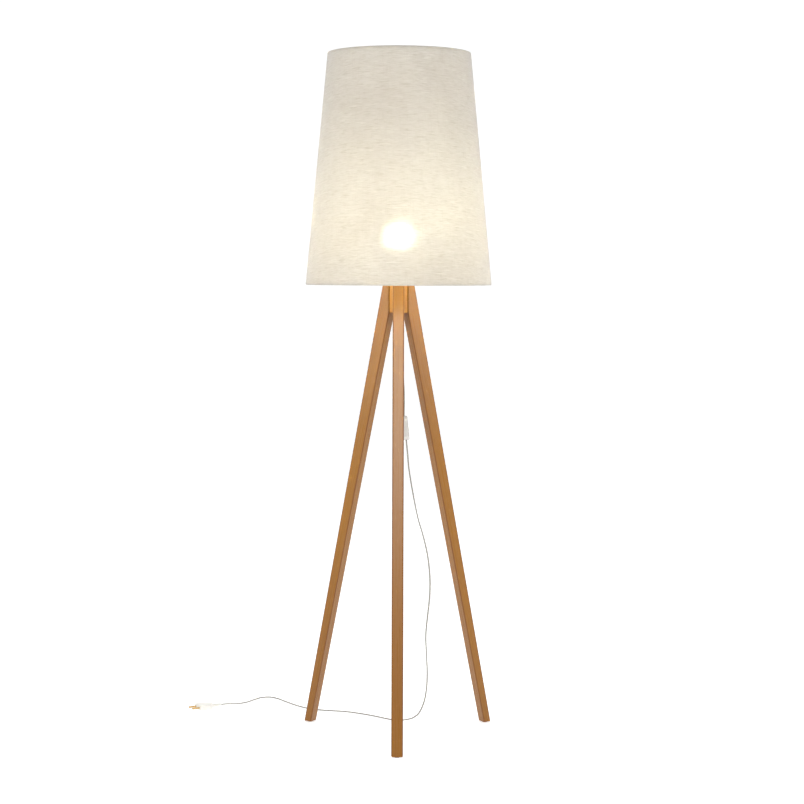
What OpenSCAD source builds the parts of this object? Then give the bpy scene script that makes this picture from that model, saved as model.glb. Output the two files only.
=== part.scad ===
// Tripod floor lamp: three tapered wooden legs on a hexagonal hub, a tall tapered linen shade on a
// three-armed spider, an E27 lampholder with its bulb, and a twin flex with an in-line rocker switch
// and a two-pin plug. Millimetres, +Z up. The origin is on the floor under the lamp's axis, and the
// front leg stands towards -Y.

/* [Overall] */
// Height from the floor to the top of the shade
overall_h = 1500; // [1350:10:1700]

/* [Legs] */
// Distance from the lamp's axis to the outer edge of each foot
foot_r = 239; // [200:1:290]
// Width of a leg, the same from foot to head
leg_w = 25; // [23:0.5:30]
// Radial thickness of a leg at the floor
foot_t = 17.5; // [16:0.5:24]
// Radial thickness of a leg at the top of the hub
head_t = 16; // [12:0.5:20]
// Rounding of a leg's edges
leg_edge_r = 2.5; // [1:0.1:3]
// Diameter of the felt pad under a foot
pad_d = 11; // [8:0.5:11]
// Thickness of the felt pad under a foot
pad_t = 2; // [1:0.5:5]

/* [Hub] */
// Width of the hexagonal hub across its flats
hub_af = 34; // [30:0.5:42]
// Length of the hub
hub_len = 65; // [60:1:100]
// Height of the hub's top above the shade's lower rim
hub_rise = 5; // [4:1:20]
// Diameter of the dowels between the hub and the legs
dowel_d = 8; // [6:0.5:9]
// Length of a dowel
dowel_len = 22; // [18:0.5:22]
// Wood left between a dowel's end and the hole for the stem
dowel_web = 2.2; // [1.5:0.1:3]
// Height of the lower dowel above the hub's bottom
dowel_low = 18; // [12:1:26]
// Distance of the upper dowel below the hub's top
dowel_high = 25; // [20:1:30]

/* [Stem] */
// Outer diameter of the threaded stem tube
stem_d = 10; // [9:0.5:10]
// Bore of the stem tube
stem_bore = 7; // [5:0.5:7]
// Thickness of the steel washers
washer_t = 1.5; // [1:0.1:2.5]
// Diameter of the steel washers
washer_d = 22; // [18:1:28]
// Height of the stem nut
nut_t = 5; // [4:0.5:7]
// Width of the stem nut across its flats
nut_af = 14; // [13:0.5:17]
// Length of the cord grip below the stem
grip_nose = 16; // [12:1:24]
// Diameter of the cord grip
grip_d = 15; // [14:0.5:18]

/* [Shade] */
// Diameter of the shade at its top
shade_top_d = 312; // [240:2:380]
// Diameter of the shade at its bottom
shade_bottom_d = 408; // [320:2:500]
// Height of the shade
shade_h = 505; // [400:5:600]
// Thickness of the linen
fabric_t = 0.6; // [0.4:0.1:1]
// Thickness of the stiff liner behind the linen
liner_t = 0.5; // [0.3:0.1:1]
// Diameter of the ring wire
wire_d = 3.5; // [2.5:0.1:5]
// Height of the linen turned in over the rings
hem_h = 7; // [6:1:12]
// Diameter of the spider's arms
arm_d = 3.5; // [3:0.1:5]
// Thickness of the fitter plate that sits on the lampholder
fitter_t = 2; // [1.5:0.5:3]
// Outer diameter of the fitter plate
fitter_d = 60; // [58:1:70]

/* [Lampholder] */
// Outer diameter of the lampholder's cap
cap_d = 40; // [40:0.5:46]
// Height of the lampholder's cap
cap_h = 24; // [24:0.5:28]
// Outer diameter of the threaded sleeve
sleeve_d = 39.6; // [38:0.1:40]
// Height of the threaded sleeve
sleeve_h = 32; // [30:1:32]
// Outer diameter of the two shade rings
ring_d = 57; // [52:1:58]
// Height of each shade ring
ring_h = 6.5; // [5:0.5:7]
// Number of finger flutes round a shade ring
ring_flutes = 18; // [12:1:24]

/* [Bulb] */
// Diameter of the bulb's globe
globe_d = 60; // [55:1:70]
// Diameter of the bulb's screw shell
screw_d = 26.4; // [26:0.1:26.4]
// Length of the bulb from its tip to the top of the globe
bulb_len = 104; // [98:1:116]
// Distance of the globe's rim below its centre
globe_open = 24; // [17:0.5:24.5]
// Wall of the globe and of the bulb's body
globe_wall = 1; // [0.8:0.1:1.5]

/* [Cord] */
// Diameter of the cord
cord_d = 3.4; // [3:0.1:3.6]

/* [Switch] */
// Length of the in-line switch
switch_len = 54; // [50:1:64]
// Width of the in-line switch
switch_w = 24; // [22:0.5:28]
// Thickness of the in-line switch
switch_t = 15; // [14:0.5:17]
// Length of the rocker
rocker_len = 15; // [12:0.5:16]
// Width of the rocker
rocker_w = 9.4; // [8:0.1:9.4]
// Travel of the rocker from on to off, in degrees
rocker_travel = 16; // [8:1:18]

/* [Plug] */
// Length of the plug's body
plug_len = 36; // [32:1:42]
// Width of the plug's body
plug_w = 35; // [33:0.5:38]
// Thickness of the plug's body
plug_t = 13.6; // [12:0.1:15]
// Diameter of a plug pin
pin_d = 4; // [4:0.1:4.8]
// Length of a plug pin outside the body
pin_len = 19; // [17:0.5:20]
// Distance between the pins' centres
pin_pitch = 19; // [17:0.5:19]
// Length of the plug's strain relief
relief_len = 24; // [20:1:40]

/* [Hidden] */
$fn = 64;

// Clearances between pieces that fit together
glue_gap = 0.05;
thread_gap = 0.05;
slide_gap = 0.15;
loose_gap = 0.3;

// Colours
WOOD = [0.66, 0.46, 0.27];
DOWEL_WOOD = [0.84, 0.70, 0.50];
FELT = [0.30, 0.22, 0.16];
STEEL = [0.70, 0.71, 0.72];
BRASS = [0.80, 0.64, 0.32];
WHITE_PLASTIC = [0.92, 0.91, 0.88];
CLEAR_PLASTIC = [0.83, 0.82, 0.79];
CERAMIC = [0.94, 0.93, 0.90];
LINEN = [0.87, 0.83, 0.75];
OPAL = [0.97, 0.96, 0.92];
BOARD = [0.20, 0.42, 0.26];

// Heights worked out from the overall height
shade_z = overall_h - shade_h;
hub_top = shade_z + hub_rise;
hub_z = hub_top - hub_len;
holder_z = hub_top + washer_t;

// Legs and hub
LEG_ANGLES = [270, 150, 30];
seat_r = hub_af / 2;
head_r = seat_r + head_t;
dowel_heights = [hub_z + dowel_low, hub_top - dowel_high];
dowel_r0 = stem_d / 2 + slide_gap + dowel_web;
pad_r = (leg_inner_r(pad_t) + leg_outer_r(pad_t)) / 2;
function leg_outer_r(z) = foot_r - (foot_r - head_r) * z / hub_top;
function leg_inner_r(z) = foot_r - foot_t - (foot_r - foot_t - seat_r) * z / hub_z;

// Stem
stem_r = stem_d / 2;
thread_len = 8;
boss_h = 9.5;
stem_low = hub_z - washer_t - nut_t - thread_len;
stem_high = holder_z + boss_h;
grip_low = stem_low - grip_nose;
grip_screw_z = grip_low + 9;

// Lampholder, as heights above its foot
core_top = cap_h - 1;
core_low = core_top - 5;
core_r = cap_d / 2 - 2.4;
terminal_x = 12.5;
terminal_w = 4;
terminal_h = 4;
terminal_screw_r = 1.25;
tongue_h = 2.4;
shell_bore_r = screw_d / 2 + loose_gap;
shell_wall = 0.5;
shell_h = 23;
sleeve_bore_r = shell_bore_r + shell_wall + 0.6;
ring_low_z = cap_h + 6;
fitter_z = ring_low_z + ring_h;
ring_high_z = fitter_z + fitter_t;

// Shade
wire_r = wire_d / 2;
arm_r = arm_d / 2;
shade_slope = (shade_bottom_d - shade_top_d) / 2 / shade_h;
bottom_wire_z = shade_z + fabric_t + wire_r + glue_gap;
top_wire_z = overall_h - fabric_t - wire_r - glue_gap;
wire_inset = fabric_t + liner_t + wire_r + 0.3;
bottom_wire_r = skin_r(bottom_wire_z) - wire_inset;
top_wire_r = skin_r(top_wire_z) - wire_inset;
ARM_ANGLES = [90, 210, 330];
arm_inner = [fitter_d / 2 - 2, 0, holder_z + fitter_z + fitter_t / 2];
arm_outer = [bottom_wire_r, 0, bottom_wire_z];
function skin_r(z) = shade_bottom_d / 2 - (z - shade_z) * shade_slope;

// Bulb, as heights above its tip
bulb_seat = core_top + tongue_h + glue_gap;
bulb_z = holder_z + bulb_seat;
globe_r = globe_d / 2;
globe_z = bulb_len - globe_r;
screw_low = 5.5;
screw_high = 26;
neck_top = cap_h + sleeve_h + 1 - bulb_seat;
neck_r = sleeve_bore_r - 0.5;
body_top = globe_z - globe_open;
body_r = sqrt(globe_r * globe_r - globe_open * globe_open);
body_wall = globe_wall + 0.5;
board_t = 1.6;
board_r = body_r - body_wall - 1.2;

// Cord. The routes are chosen points on the cord's own line, from the lamp towards the plug.
cord_r = cord_d / 2;
CORD_SIDES = 8;
PLUG_POINT = [-415.5, 260.2, plug_t / 2];
UPPER_ROUTE = [[0, 0, 904.4], [0.5, 0, 885], [3, 1, 850], [8, 1, 812], [12, 0, 775], [13, 0, 740],
    [12.6, 0, 707.6]];
LOWER_ROUTE = [[17.8, 0, 653.4], [20.5, 1, 628], [24, 4, 590], [32, 10, 540], [44, 20, 480],
    [57, 32, 434], [67, 45, 388], [72, 60, 340], [72, 76, 295], [68, 92, 250], [64, 108, 200],
    [66, 124, 150], [68, 138, 105], [66, 146, 65], [60, 149, 35], [49, 147, 12], [36, 140, 3.4],
    [20, 126, 2.1], [2, 120, 1.9], [-18, 130, 1.9], [-52, 162, 1.9], [-87, 190, 1.9],
    [-122, 210, 1.9], [-157, 220, 1.9], [-188, 230, 1.9], [-214, 248, 1.9], [-240, 278, 1.9],
    [-266, 318, 1.9], [-286, 350, 1.9], [-306, 369, 1.9], [-327, 364, 1.9], [-343, 340, 1.9],
    [-358, 312, 1.9], [-378, 286, 3.5], [-400, 269.5, 6.4], PLUG_POINT];

// Switch, in its own frame: length along Z, rocker towards +X, rocker axis along Y
SWITCH_CENTRE = [15.2, 0, 680.5];
switch_lean = -5.5;
switch_edge_r = 3;
switch_corner_r = 9;
switch_wall = 2;
cavity_len = switch_len - 18;
cavity_w = switch_w - 6;
rocker_axis_x = switch_t / 2 - 3;
rocker_gap = 0.3;
rocker_pin_r = 1;
switch_screw_r = 1.3;
switch_screw_y = switch_w / 2 - 6;
switch_screw_z = switch_len / 2 - 5.5;

// Plug, in its own frame: pins towards +X, lying flat
plug_heading = 211;
plug_edge_r = 2.5;
plug_tail_w = 14;
relief_small_r = cord_r + 0.9;
relief_big_r = 4.6;
pin_root = 8;
pin_root_r = pin_d / 2 - 0.3;

// ---- Shared shapes ----

// Points of an arc in degrees
function arc(cx, cy, r, from, to, steps = 8) =
    [for (k = [0:steps]) let (a = from + (to - from) * k / steps) [cx + r * cos(a), cy + r * sin(a)]];

// Points of a curve that leaves a towards b and ends at c
function bend(a, b, c, steps = 8) =
    [for (k = [0:steps]) let (t = k / steps) a * (1 - t) * (1 - t) + b * 2 * t * (1 - t) + c * t * t];

// A plate of a flat outline, with every edge rounded
module rounded_plate(thick, edge, steps = 4) {
    hull()
        for (k = [0:steps])
            linear_extrude(height = thick - 2 * edge * (1 - sin(90 * k / steps)), center = true)
                offset(delta = -edge * (1 - cos(90 * k / steps)))
                    children();
}

// A round rod between two points
module rod(from, to, r) {
    d = to - from;
    translate(from)
        rotate([0, acos(d[2] / norm(d)), atan2(d[1], d[0])])
            cylinder(r = r, h = norm(d));
}

module tube(outer_r, inner_r, h)
    difference() {
        cylinder(r = outer_r, h = h);
        translate([0, 0, -1])
            cylinder(r = inner_r, h = h + 2);
    }

module ring_wire(r, z, gap = 0)
    translate([0, 0, z])
        rotate_extrude()
            translate([r, 0])
                circle(r = wire_r + gap, $fn = 32);

module at_leg(i)
    rotate([0, 0, LEG_ANGLES[i]])
        children();

// ---- Stand ----

module leg_profile()
    polygon([[leg_inner_r(pad_t), pad_t], [leg_outer_r(pad_t), pad_t], [head_r, hub_top],
        [seat_r, hub_top], [seat_r, hub_z]]);

module dowels(gap = 0)
    for (z = dowel_heights)
        translate([dowel_r0 - gap, 0, z])
            rotate([0, 90, 0])
                cylinder(d = dowel_d + 2 * gap, h = dowel_len + 2 * gap);

module leg(i)
    color(WOOD)
        at_leg(i)
            difference() {
                rotate([90, 0, 0])
                    rounded_plate(leg_w, leg_edge_r)
                        leg_profile();
                dowels(glue_gap);
            }

module foot_pad(i)
    color(FELT)
        at_leg(i)
            translate([pad_r, 0, 0])
                cylinder(d = pad_d, h = pad_t);

module hub_block()
    color(WOOD)
        difference() {
            translate([0, 0, hub_z])
                cylinder(d = hub_af / cos(30), h = hub_len, $fn = 6);
            translate([0, 0, hub_z - 1])
                cylinder(r = stem_r + slide_gap, h = hub_len + 2);
            for (i = [0:2])
                at_leg(i)
                    dowels(glue_gap);
        }

module leg_dowels()
    color(DOWEL_WOOD)
        for (i = [0:2])
            at_leg(i)
                dowels();

// ---- Stem and cord grip ----

module stem_tube()
    color(STEEL)
        translate([0, 0, stem_low])
            tube(stem_r, stem_bore / 2, stem_high - stem_low);

module stem_washer(z)
    color(STEEL)
        translate([0, 0, z])
            tube(washer_d / 2, stem_r + slide_gap, washer_t);

module stem_nut()
    color(STEEL)
        translate([0, 0, hub_z - washer_t - nut_t])
            difference() {
                cylinder(d = nut_af / cos(30), h = nut_t, $fn = 6);
                translate([0, 0, -1])
                    cylinder(r = stem_r + thread_gap, h = nut_t + 2);
            }

module cord_grip() {
    top = grip_nose + thread_len;
    color(WHITE_PLASTIC)
        difference() {
            translate([0, 0, grip_low])
                rotate_extrude()
                    polygon(concat([[cord_r + glue_gap, 0], [cord_r + 1.6, 0]],
                        bend([cord_r + 2.2, 0.8], [grip_d / 2, 4], [grip_d / 2, 12]),
                        [[grip_d / 2, top - 1], [grip_d / 2 - 1, top], [stem_r + thread_gap, top],
                        [stem_r + thread_gap, grip_nose], [cord_r + glue_gap, grip_nose]]));
            grip_screw_hole(glue_gap);
        }
}

module grip_screw_hole(gap)
    translate([0, cord_r + glue_gap, grip_screw_z])
        rotate([-90, 0, 0])
            cylinder(r = 1.5 + gap, h = grip_d);

module cord_grip_screw()
    color(WHITE_PLASTIC)
        difference() {
            intersection() {
                grip_screw_hole(0);
                translate([0, 0, grip_low])
                    cylinder(d = grip_d - 0.6, h = grip_nose);
            }
            translate([-2, grip_d / 2 - 1.3, grip_screw_z - 0.3])
                cube([4, 2, 0.6]);
        }

// ---- Lampholder ----

module holder_cap() {
    dome_r = 12;
    neck = cap_d / 2 - dome_r;
    dome_z = 5 + dome_r;
    wall = 2;
    color(WHITE_PLASTIC)
        translate([0, 0, holder_z])
            rotate_extrude()
                polygon(concat([[stem_r + thread_gap, 0], [neck, 0]],
                    arc(neck, dome_z, dome_r, -90, 0), [[cap_d / 2, cap_h], [cap_d / 2 - wall, cap_h]],
                    arc(neck, dome_z, dome_r - wall, 0, -90),
                    [[neck - 0.5, boss_h], [stem_r + thread_gap, boss_h]]));
}

module holder_core()
    color(CERAMIC)
        translate([0, 0, holder_z])
            difference() {
                union() {
                    translate([0, 0, core_low])
                        cylinder(r = core_r, h = core_top - core_low);
                    translate([0, 0, core_low - 2])
                        cylinder(r = 4, h = 3);
                }
                for (x = [-terminal_x, terminal_x])
                    translate([x, 0, core_low - 1])
                        cylinder(r = terminal_screw_r + 0.5, h = core_top - core_low + 2);
            }

module holder_terminals()
    color(BRASS)
        for (x = [-terminal_x, terminal_x])
            translate([x, 0, holder_z + core_low - terminal_h])
                difference() {
                    translate([-terminal_w / 2, -3, 0])
                        cube([terminal_w, 6, terminal_h]);
                    translate([0, 0, -1])
                        cylinder(r = terminal_screw_r + thread_gap, h = terminal_h + 2);
                }

module holder_terminal_screws()
    color(STEEL)
        for (x = [-terminal_x, terminal_x])
            translate([x, 0, holder_z + core_low - terminal_h])
                difference() {
                    union() {
                        cylinder(r = terminal_screw_r, h = terminal_h + 3);
                        translate([0, 0, -1.6])
                            cylinder(r = 2.1, h = 1.6);
                    }
                    translate([-3, -0.3, -2])
                        cube([6, 0.6, 1]);
                }

// A folded leaf spring under the bulb's tip
module holder_tongue()
    color(BRASS)
        translate([0, 2.5, holder_z + core_top])
            rotate([90, 0, 0])
                linear_extrude(height = 5)
                    polygon([[-6, 0], [4, 0], [4, 0.5], [-4.6, 0.5], [4.8, tongue_h - 0.5],
                        [4.6, tongue_h], [-1, tongue_h - 0.4], [-6, 1]]);

module holder_screw_shell()
    color(BRASS)
        translate([0, 0, holder_z + core_top])
            tube(shell_bore_r + shell_wall, shell_bore_r, shell_h);

module holder_sleeve()
    color(WHITE_PLASTIC)
        translate([0, 0, holder_z + cap_h])
            tube(sleeve_d / 2, sleeve_bore_r, sleeve_h);

module shade_ring(z)
    color(WHITE_PLASTIC)
        translate([0, 0, holder_z + z])
            difference() {
                cylinder(d = ring_d, h = ring_h);
                translate([0, 0, -1])
                    cylinder(r = sleeve_d / 2 + thread_gap, h = ring_h + 2);
                for (k = [0:ring_flutes - 1])
                    rotate([0, 0, 360 * k / ring_flutes])
                        translate([ring_d / 2 + 1.2, 0, -1])
                            cylinder(r = 2.4, h = ring_h + 2);
            }

// ---- Shade ----

module shade_fitter()
    color(STEEL)
        translate([0, 0, holder_z + fitter_z])
            tube(fitter_d / 2, sleeve_d / 2 + loose_gap, fitter_t);

module arm_rod(i, gap = 0)
    rotate([0, 0, ARM_ANGLES[i]])
        rod(arm_inner, arm_outer, arm_r + gap);

module shade_arm(i)
    color(STEEL)
        difference() {
            arm_rod(i);
            ring_wire(bottom_wire_r, bottom_wire_z, glue_gap);
            translate([0, 0, arm_inner[2] - 10])
                cylinder(r = fitter_d / 2 + glue_gap, h = 20);
        }

module shade_liner() {
    low = shade_z + fabric_t + glue_gap;
    high = overall_h - fabric_t - glue_gap;
    back = fabric_t + glue_gap;
    color(WHITE_PLASTIC)
        rotate_extrude()
            polygon([[skin_r(low) - back, low], [skin_r(high) - back, high],
                [skin_r(high) - back - liner_t, high], [skin_r(low) - back - liner_t, low]]);
}

// The outer skin, turned in over both ring wires
module shade_fabric() {
    low = shade_z;
    high = overall_h;
    low_lip = bottom_wire_r - wire_r - glue_gap;
    high_lip = top_wire_r - wire_r - glue_gap;
    color(LINEN)
        difference() {
            rotate_extrude()
                polygon([[skin_r(low), low], [skin_r(high), high], [high_lip - fabric_t, high],
                    [high_lip - fabric_t, high - hem_h], [high_lip, high - hem_h],
                    [high_lip, high - fabric_t], [skin_r(high - fabric_t) - fabric_t, high - fabric_t],
                    [skin_r(low + fabric_t) - fabric_t, low + fabric_t], [low_lip, low + fabric_t],
                    [low_lip, low + hem_h], [low_lip - fabric_t, low + hem_h],
                    [low_lip - fabric_t, low]]);
            for (i = [0:2])
                arm_rod(i, loose_gap);
        }
}

// ---- Bulb ----

module at_bulb(z = 0)
    translate([0, 0, bulb_z + z])
        children();

module bulb_globe()
    color(OPAL)
        at_bulb(globe_z)
            difference() {
                sphere(r = globe_r);
                sphere(r = globe_r - globe_wall);
                translate([-globe_d, -globe_d, -2 * globe_d - (globe_z - body_top)])
                    cube(2 * globe_d);
            }

module bulb_body()
    color(WHITE_PLASTIC)
        at_bulb()
            rotate_extrude()
                polygon(concat([[neck_r, screw_high]],
                    bend([neck_r, neck_top], [neck_r + 2, body_top - 14], [body_r, body_top]),
                    bend([body_r - body_wall, body_top], [neck_r + 2 - body_wall, body_top - 14],
                        [neck_r - body_wall, neck_top]),
                    [[neck_r - body_wall, screw_high]]));

module bulb_led_board()
    color(BOARD)
        at_bulb(body_top - board_t)
            cylinder(r = board_r, h = board_t);

module bulb_leds()
    color("khaki")
        for (k = [0:5])
            rotate([0, 0, 60 * k])
                at_bulb(body_top)
                    translate([board_r - 6, -1.5, 0])
                        cube([3, 3, 0.8]);

module bulb_driver_board()
    color(BOARD)
        at_bulb(screw_low + 5)
            translate([-board_t / 2, -10, 0])
                cube([board_t, 20, body_top - board_t - screw_low - 6]);

module bulb_capacitor()
    color("dimgray")
        at_bulb(32)
            translate([board_t / 2 + 4, 0, 0])
                cylinder(r = 4, h = 13);

module bulb_screw_shell()
    color(STEEL)
        at_bulb(screw_low)
            tube(screw_d / 2, screw_d / 2 - 0.5, screw_high - screw_low);

module bulb_insulator() {
    shell_r = screw_d / 2 - 0.5 - glue_gap;
    color("dimgray")
        at_bulb()
            rotate_extrude()
                polygon([[0, 1.2], [4.6, 1.2], [shell_r - 0.8, screw_low], [shell_r, screw_low],
                    [shell_r, screw_low + 1.5], [0, screw_low + 1.5]]);
}

module bulb_tip_contact()
    color(STEEL)
        at_bulb()
            rotate_extrude()
                polygon([[0, 0], [2.4, 0.1], [4, 0.6], [4.6, 1.2], [0, 1.2]]);

// ---- Cord ----

// A point on the smooth line through the route's points, for a whole and fractional step
function on_route(p, s) =
    let (i = min(floor(s), len(p) - 2), t = s - i,
        a = p[max(i - 1, 0)], b = p[i], c = p[i + 1], d = p[min(i + 2, len(p) - 1)])
    0.5 * (2 * b + (c - a) * t + (2 * a - 5 * b + 4 * c - d) * t * t
        + (3 * b - a - 3 * c + d) * t * t * t);

function unit(v) = v / norm(v);

module cord_tube(route, per_step) {
    steps = (len(route) - 1) * per_step;
    line = [for (k = [0:steps]) on_route(route, k / per_step)];
    ahead = [for (k = [0:steps]) unit(line[min(k + 1, steps)] - line[max(k - 1, 0)])];
    rings = [for (k = [0:steps])
        let (u = unit(cross(ahead[k], [0, 1, 0])), v = cross(ahead[k], u))
        for (j = [0:CORD_SIDES - 1])
            line[k] + cord_r * (cos(360 * j / CORD_SIDES) * u + sin(360 * j / CORD_SIDES) * v)];
    sides = [for (k = [0:steps - 1]) for (j = [0:CORD_SIDES - 1])
        let (a = k * CORD_SIDES, b = (j + 1) % CORD_SIDES)
        [a + j, a + b, a + CORD_SIDES + b, a + CORD_SIDES + j]];
    first = [for (j = [CORD_SIDES - 1:-1:0]) j];
    last = [for (j = [0:CORD_SIDES - 1]) steps * CORD_SIDES + j];
    polyhedron(points = rings, faces = concat(sides, [first, last]));
}

module cord_upper()
    color(CLEAR_PLASTIC)
        cord_tube(UPPER_ROUTE, 1);

module cord_lower()
    color(CLEAR_PLASTIC)
        cord_tube(LOWER_ROUTE, 2);

module lead_in()
    color(CLEAR_PLASTIC)
        translate([0, 0, grip_low])
            cylinder(r = cord_r, h = stem_high + 2 - grip_low);

module lead_cores()
    color("silver")
        for (side = [-1, 1])
            rod([side * 0.9, 0, stem_high + 2.7],
                [side * (terminal_x - terminal_w / 2 - 0.7), 0, holder_z + core_low - 1.2], 0.7);

// ---- Switch ----

module at_switch()
    translate(SWITCH_CENTRE)
        rotate([0, switch_lean, 0])
            children();

module switch_outline(inset = 0)
    offset(r = switch_corner_r - inset, $fn = 32)
        square([switch_len - 2 * switch_corner_r, switch_w - 2 * switch_corner_r], center = true);

module switch_block(inset = 0, edge = switch_edge_r)
    rotate([0, 90, 0])
        rounded_plate(switch_t - 2 * inset, edge)
            switch_outline(inset);

module switch_cavity()
    cube([switch_t - 2 * switch_wall, cavity_w, cavity_len], center = true);

module switch_cord_holes()
    cylinder(r = cord_r + glue_gap, h = switch_len + 2, center = true);

module switch_screw_places()
    for (s = [-1, 1])
        translate([0, s * switch_screw_y, s * switch_screw_z])
            children();

module switch_half(side)
    intersection() {
        switch_block();
        translate([side * switch_t / 2, 0, 0])
            cube([switch_t, 2 * switch_w, 2 * switch_len], center = true);
    }

module switch_base()
    color(CLEAR_PLASTIC)
        at_switch()
            difference() {
                switch_half(-1);
                switch_cavity();
                switch_cord_holes();
                switch_screw_places() {
                    rotate([0, -90, 0])
                        cylinder(r = switch_screw_r + slide_gap, h = switch_t);
                    translate([-switch_t / 2 + 2, 0, 0])
                        rotate([0, -90, 0])
                            cylinder(r = 2.6, h = 5);
                }
            }

module switch_cover()
    color(CLEAR_PLASTIC)
        at_switch()
            difference() {
                union() {
                    difference() {
                        switch_half(1);
                        switch_cavity();
                    }
                    for (s = [-1, 1])
                        translate([rocker_axis_x - 2, s * (rocker_w / 2 + rocker_gap + 1) - 1, -2.5])
                            cube([4, 2, 5]);
                }
                translate([0, -rocker_w / 2 - rocker_gap, -rocker_len / 2 - rocker_gap - 0.4])
                    cube([switch_t, rocker_w + 2 * rocker_gap, rocker_len + 2 * rocker_gap + 0.8]);
                switch_cord_holes();
                translate([rocker_axis_x, 0, 0])
                    rotate([90, 0, 0])
                        cylinder(r = rocker_pin_r, h = rocker_w + 2 * rocker_gap + 3, center = true);
                switch_screw_places()
                    rotate([0, 90, 0])
                        cylinder(r = switch_screw_r, h = 5);
            }

// Standing in the on position, with its upper end pressed in
module switch_rocker()
    color(WHITE_PLASTIC)
        at_switch()
            translate([rocker_axis_x, 0, 0])
                rotate([0, -rocker_travel / 2, 0])
                    difference() {
                        rotate([90, 0, 0])
                            linear_extrude(height = rocker_w, center = true)
                                polygon(concat([[-1.6, -3], [1.2, -rocker_len / 2]],
                                    bend([3.6, -rocker_len / 2], [4.1, -rocker_len / 2 + 0.8],
                                        [3.4, 0], 5),
                                    bend([3.4, 0], [4.1, rocker_len / 2 - 0.8],
                                        [3.6, rocker_len / 2], 5),
                                    [[1.2, rocker_len / 2], [-1.6, 3]]));
                        rotate([90, 0, 0])
                            cylinder(r = rocker_pin_r + glue_gap, h = rocker_w + 2, center = true);
                    }

module switch_pin()
    color(STEEL)
        at_switch()
            translate([rocker_axis_x, 0, 0])
                rotate([90, 0, 0])
                    cylinder(r = rocker_pin_r - 0.01, h = rocker_w + 2 * rocker_gap + 2.8, center = true);

// Two terminal blocks on the floor of the base
module switch_contacts()
    color(BRASS)
        at_switch()
            for (s = [-1, 1])
                translate([-switch_t / 2 + switch_wall, -3, s * 11 - 4])
                    cube([3.2, 6, 8]);

// The spring strip that joins the blocks
module switch_bridge()
    color(BRASS)
        at_switch()
            translate([-switch_t / 2 + switch_wall + 3.2 + glue_gap, -1.5, -12])
                cube([0.4, 3, 24]);

module switch_screws()
    color(STEEL)
        at_switch()
            switch_screw_places()
                difference() {
                    union() {
                        translate([-switch_t / 2 + 2, 0, 0])
                            rotate([0, 90, 0])
                                cylinder(r = switch_screw_r - glue_gap, h = switch_t / 2 + 2.5);
                        translate([-switch_t / 2 + 2, 0, 0])
                            rotate([0, -90, 0])
                                cylinder(r = 2.4, h = 1.4);
                    }
                    translate([-switch_t / 2, -0.3, -3])
                        cube([1.2, 0.6, 6]);
                }

module switch_leads()
    color(CLEAR_PLASTIC)
        at_switch()
            for (s = [-1, 1])
                translate([0, 0, s * (switch_len / 2 - 6)])
                    cylinder(r = cord_r, h = 12 - 2 * glue_gap, center = true);

// ---- Plug ----

module at_plug(x = 0)
    translate(PLUG_POINT)
        rotate([0, 0, plug_heading])
            translate([x, 0, 0])
                children();

module plug_relief()
    color(WHITE_PLASTIC)
        at_plug(glue_gap)
            rotate([0, 90, 0])
                difference() {
                    cylinder(r1 = relief_small_r, r2 = relief_big_r, h = relief_len);
                    for (k = [1:4])
                        translate([0, 0, relief_len * k / 5.5])
                            difference() {
                                cylinder(r = relief_big_r + 1, h = 1.2);
                                translate([0, 0, -1])
                                    cylinder(r = relief_small_r + 0.45 * k - 0.8, h = 4);
                            }
                }

module plug_body()
    color(WHITE_PLASTIC)
        at_plug(relief_len + 2 * glue_gap)
            difference() {
                rounded_plate(plug_t, plug_edge_r)
                    offset(r = 3, $fn = 24)
                        offset(delta = -3)
                            polygon([[0, -plug_tail_w / 2], [0, plug_tail_w / 2],
                                [plug_len * 0.35, plug_w / 2], [plug_len, plug_w / 2],
                                [plug_len, -plug_w / 2], [plug_len * 0.35, -plug_w / 2]]);
                for (s = [-1, 1])
                    translate([plug_len - pin_root, s * pin_pitch / 2, 0])
                        rotate([0, 90, 0])
                            cylinder(r = pin_root_r + glue_gap, h = pin_root + 1);
            }

// A pin on a thinner root that is moulded into the body
module plug_pin(side)
    color(BRASS)
        at_plug(relief_len + 2 * glue_gap + plug_len - pin_root + glue_gap)
            translate([0, side * pin_pitch / 2, 0])
                rotate([0, 90, 0])
                    rotate_extrude()
                        polygon(concat([[0, 0], [pin_root_r, 0], [pin_root_r, pin_root + 0.6],
                            [pin_d / 2, pin_root + 0.6]],
                            arc(pin_d / 2 - 1.5, pin_root + pin_len - 1.5, 1.5, 0, 90, 4),
                            [[0, pin_root + pin_len]]));

// ---- Nodes ----

leg(0);  // leg_front
leg(1);  // leg_rear_left
leg(2);  // leg_rear_right
hub_block();
leg_dowels();
foot_pad(0);  // foot_pad_front
foot_pad(1);  // foot_pad_rear_left
foot_pad(2);  // foot_pad_rear_right
stem_tube();
stem_washer(hub_z - washer_t);  // stem_washer_lower
stem_washer(hub_top);  // stem_washer_upper
stem_nut();
cord_grip();
cord_grip_screw();
holder_cap();
holder_core();
holder_tongue();
holder_terminals();
holder_terminal_screws();
holder_screw_shell();
holder_sleeve();
shade_ring(ring_low_z);  // shade_ring_lower
shade_ring(ring_high_z);  // shade_ring_upper
shade_fitter();
shade_arm(0);  // shade_arm_rear
shade_arm(1);  // shade_arm_left
shade_arm(2);  // shade_arm_right
color(STEEL) ring_wire(bottom_wire_r, bottom_wire_z);  // shade_bottom_ring
color(STEEL) ring_wire(top_wire_r, top_wire_z);  // shade_top_ring
shade_liner();
shade_fabric();
bulb_globe();
bulb_body();
bulb_led_board();
bulb_leds();
bulb_driver_board();
bulb_capacitor();
bulb_screw_shell();
bulb_insulator();
bulb_tip_contact();
lead_in();
lead_cores();
cord_upper();
switch_base();
switch_cover();
switch_rocker();
switch_pin();
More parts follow.
